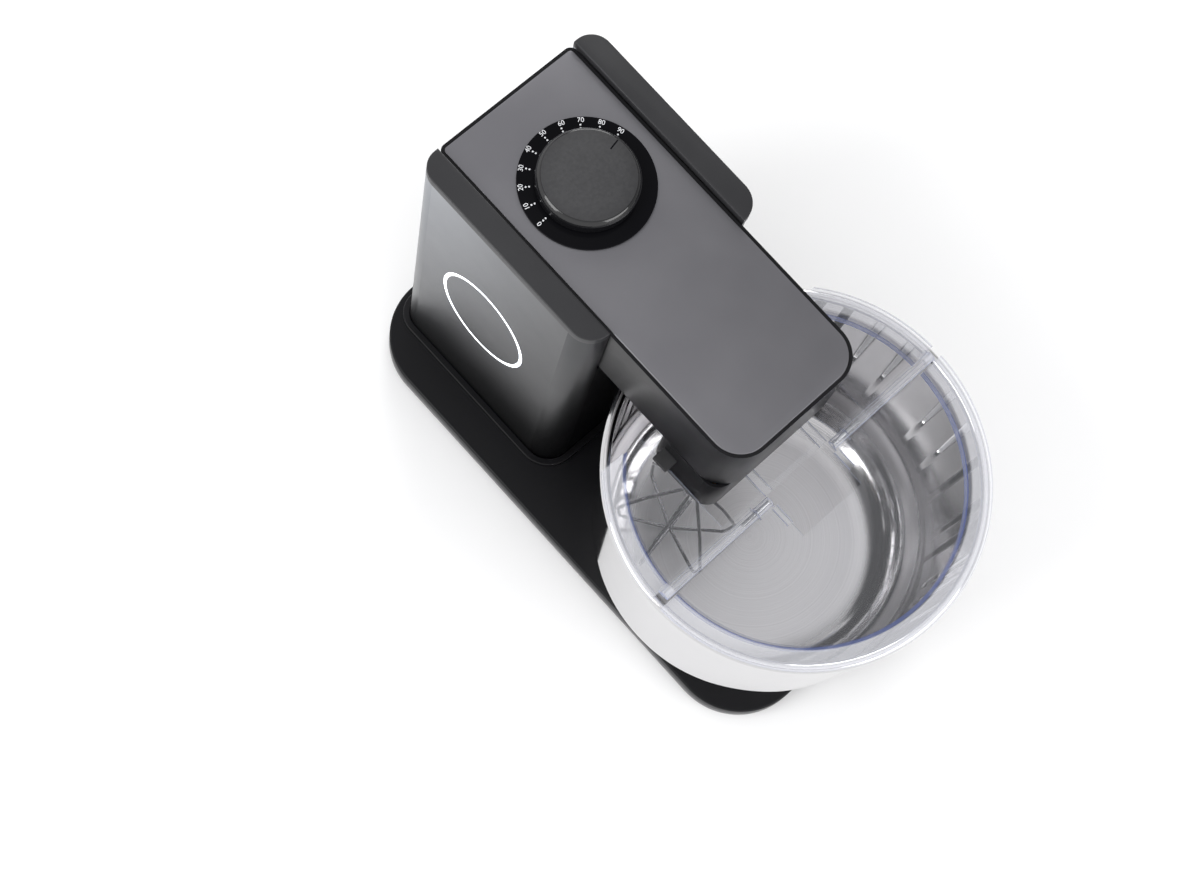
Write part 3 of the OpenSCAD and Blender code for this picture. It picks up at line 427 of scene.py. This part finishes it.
# ---------------------------------------------------------------- bowl
rim_r = (bowl_hi[0] - bowl_lo[0]) / 2
bead = 3.3 * MM
wall = 1.2 * MM
floor_r = 72 * MM
top_r = rim_r - 2 * bead + wall
low_r = top_r - 4 * MM
bend = low_r - floor_r
floor_z = bowl_lo[2]
rim_z = bowl_hi[2]


def bend_line(radius):
    return [(floor_r + radius * math.sin(a), floor_z + bend - radius * math.cos(a))
            for a in (math.radians(5 * k) for k in range(19))]


outside = [(0, floor_z)] + bend_line(bend) + [(top_r, rim_z - bead)]
bead_line = [(rim_r - bead - bead * math.cos(a), rim_z - bead + bead * math.sin(a))
             for a in (math.radians(-60 + 20 * k) for k in range(16))]
inside = [(top_r - wall, rim_z - bead)] + bend_line(bend - wall)[::-1] + [(0, floor_z + wall)]
finish_piece(turned(outside + bead_line[::-1] + inside, (0, bowl_y), 160), "mixing_bowl", "bowl", "polished_steel", "bowl")

# ---------------------------------------------------------------- whisk
lo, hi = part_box("whisk_wires")
tool = ((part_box("spindle")[0][0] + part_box("spindle")[1][0]) / 2, (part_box("spindle")[0][1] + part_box("spindle")[1][1]) / 2)
tall = hi[2] - lo[2]
wide = 40 * MM
side_line = [(5 * MM, 1.0), (24 * MM, 0.67), (26 * MM, 0.64), (39.6 * MM, 0.33), (wide, 0.30), (39.7 * MM, 0.28),
             (37 * MM, 0.14), (36 * MM, 0.12), (34.5 * MM, 0.11), (2 * MM, 0.0), (0, 0.0)]
for k in range(3):
    turn = math.radians(60 * k + 10)
    loop = [(-r, z) for r, z in side_line] + [(r, z) for r, z in side_line[-2::-1]]
    curve = bpy.data.curves.new("whisk_loop", "CURVE")
    curve.dimensions = "3D"
    curve.bevel_depth = 1.15 * MM
    curve.bevel_resolution = 4
    curve.use_fill_caps = True
    line = curve.splines.new("NURBS")
    line.points.add(len(loop) - 1)
    for point, (r, z) in zip(line.points, loop):
        point.co = (tool[0] + r * math.cos(turn), tool[1] + r * math.sin(turn), lo[2] + 0.0015 + z * (tall - 0.002), 1)
    line.use_endpoint_u = True
    line.order_u = 3
    line.resolution_u = 8
    holder = bpy.data.objects.new("whisk_curve", curve)
    bpy.context.scene.collection.objects.link(holder)
    bpy.context.view_layer.update()
    tube = bmesh.new()
    tube.from_mesh(holder.to_mesh())
    bpy.data.objects.remove(holder)
    finish_piece(tube, f"whisk_loop_{k + 1}", "whisk", "wire_steel", *(["whisk_wires"] if k == 0 else []))

# ---------------------------------------------------------------- dial marks
mark = painted("dial_print", (0.72, 0.73, 0.75, 1), (0.85, 0.86, 0.88, 1), 0.4, bump=0.03)
FINISHES["dial_print"] = mark
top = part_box("dial_ring")[1][2]
for number, angle in zip(range(90, -1, -10), (16, 34, 52.5, 70, 89, 109, 128, 146, 164, 183)):
    turn = math.radians(angle)
    words = bpy.data.curves.new("dial_number", "FONT")
    words.body = str(number)
    words.size = 4.4 * MM
    words.align_x = "CENTER"
    words.align_y = "CENTER"
    words.extrude = 0.08 * MM
    holder = bpy.data.objects.new("dial_number", words)
    bpy.context.scene.collection.objects.link(holder)
    bpy.context.view_layer.update()
    flat = bmesh.new()
    flat.from_mesh(holder.to_mesh())
    bpy.data.objects.remove(holder)
    spot = Matrix.Translation((dial[0] + 40 * MM * math.cos(turn), dial[1] + 1 * MM + 40 * MM * math.sin(turn), top + 0.1 * MM))
    bmesh.ops.transform(flat, matrix=spot @ Matrix.Rotation(turn - math.pi / 2, 4, "Z"), verts=flat.verts)
    bmesh.ops.remove_doubles(flat, verts=flat.verts, dist=1e-7)
    mesh = bpy.data.meshes.new("dial_number")
    flat.to_mesh(mesh)
    flat.free()
    piece = bpy.data.objects.new(f"dial_number_{number}", mesh)
    bpy.context.scene.collection.objects.link(piece)
    mesh.materials.append(mark.material)
    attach(piece, "head")

dots = bmesh.new()
for step in range(20):
    turn = math.radians(16 + 167 * (step // 2) / 9)
    reach = (36.9 if step % 2 else 34.8) * MM
    spot = Vector((dial[0] + reach * math.cos(turn), dial[1] + 1 * MM + reach * math.sin(turn), top + 0.05 * MM))
    bmesh.ops.create_cone(dots, cap_ends=True, segments=16, radius1=0.6 * MM, radius2=0.5 * MM,
                          depth=0.1 * MM, matrix=Matrix.Translation(spot))
finish_piece(dots, "dial_dots", "head", "dial_print")

pointer = block((21.5 * MM, -0.45 * MM, knob_top - 0.2 * MM), (29 * MM, 0.45 * MM, knob_top + 0.04 * MM))
bmesh.ops.transform(pointer, matrix=Matrix.Translation((dial[0], dial[1], 0)) @ Matrix.Rotation(math.radians(11.5), 4, "Z"), verts=pointer.verts)
finish_piece(pointer, "knob_pointer", "speed_knob", "gloss_black")

# ---------------------------------------------------------------- soft edges on carried-over nodes
for name, width in (("column_shell", 0.8), ("gearbox_cover", 2.5), ("column_plinth", 0.8), ("guard_clips", 0.5), ("turntable", 0.6)):
    held = nodes[name]
    weld = held.modifiers.new("weld", "WELD")
    weld.merge_threshold = 1e-6
    soft = held.modifiers.new("soft_edge", "BEVEL")
    soft.width = width * MM
    soft.segments = 3
    soft.limit_method = "ANGLE"
    soft.angle_limit = math.radians(50)

# ---------------------------------------------------------------- stage
bpy.ops.mesh.primitive_plane_add(size=12)
floor = bpy.context.object
floor.name = "floor"
ground = Finish("pale_floor")
ground.set("Base Color", ground.blend(ground.noise(3, 3), (0.90, 0.90, 0.90, 1), (0.93, 0.93, 0.93, 1)))
ground.set("Roughness", ground.noise(30, 3) * 0.1 + 0.5)
floor.data.materials.append(ground.material)

world = bpy.data.worlds.new("studio")
bpy.context.scene.world = world
world.use_nodes = True
sky = world.node_tree
way = sky.nodes.new("ShaderNodeTexCoord")
split = sky.nodes.new("ShaderNodeSeparateXYZ")
shade = sky.nodes.new("ShaderNodeValToRGB")
shade.color_ramp.elements[0].position = 0.45
shade.color_ramp.elements[0].color = (1, 1, 1, 1)
shade.color_ramp.elements[1].position = 0.85
shade.color_ramp.elements[1].color = (0.62, 0.62, 0.63, 1)
sky.links.new(way.outputs["Generated"], split.inputs[0])
sky.links.new(split.outputs["Z"], shade.inputs[0])
side = sky.nodes.new("ShaderNodeMapRange")
for key, value in zip(("From Min", "From Max", "To Min", "To Max"), (0.15, 0.55, 1.0, 0.45)):
    side.inputs[key].default_value = value
sky.links.new(split.outputs["X"], side.inputs["Value"])
dim = sky.nodes.new("ShaderNodeMix")
dim.data_type = "RGBA"
dim.blend_type = "MULTIPLY"
dim.inputs[0].default_value = 1.0
sky.links.new(shade.outputs[0], dim.inputs[6])
sky.links.new(side.outputs[0], dim.inputs[7])
sky.links.new(dim.outputs[2], sky.nodes["Background"].inputs[0])
sky.nodes["Background"].inputs[1].default_value = 1.25


def softbox(name, place, aim, width, depth, power):
    lamp = bpy.data.lights.new(name, "AREA")
    lamp.shape = "RECTANGLE"
    lamp.size = width
    lamp.size_y = depth
    lamp.energy = power
    holder = bpy.data.objects.new(name, lamp)
    bpy.context.scene.collection.objects.link(holder)
    holder.matrix_world = Matrix.Translation(place) @ (Vector(aim) - Vector(place)).to_track_quat("-Z", "Y").to_matrix().to_4x4()


softbox("softbox_left", (-1.6, 0.6, 1.5), (0, 0, 0.15), 1.0, 1.4, 22)
softbox("softbox_front", (0.3, -1.8, 1.2), (0, 0, 0.15), 1.4, 0.8, 14)
softbox("softbox_back", (1.5, 1.4, 1.1), (0, 0, 0.15), 1.0, 1.0, 18)

# ---------------------------------------------------------------- camera
eye = Vector((-445.1, -154.1, 1545.2)) * MM
aim = Vector((-0.45, 23.8, 150)) * MM
roll = math.radians(26.35)
ahead = (aim - eye).normalized()
across = ahead.cross(Vector((0, 0, 1))).normalized()
over = across.cross(ahead)
right = across * math.cos(roll) + over * math.sin(roll)
up = over * math.cos(roll) - across * math.sin(roll)
lens = bpy.data.cameras.new("camera")
lens.sensor_width = 36
lens.lens = 68.56
lens.shift_x = -0.0661
lens.shift_y = -0.0562
camera = bpy.data.objects.new("camera", lens)
bpy.context.scene.collection.objects.link(camera)
camera.matrix_world = Matrix((right, up, -ahead)).transposed().to_4x4()
camera.location = eye
bpy.context.scene.camera = camera
bpy.context.scene.view_settings.view_transform = "Standard"
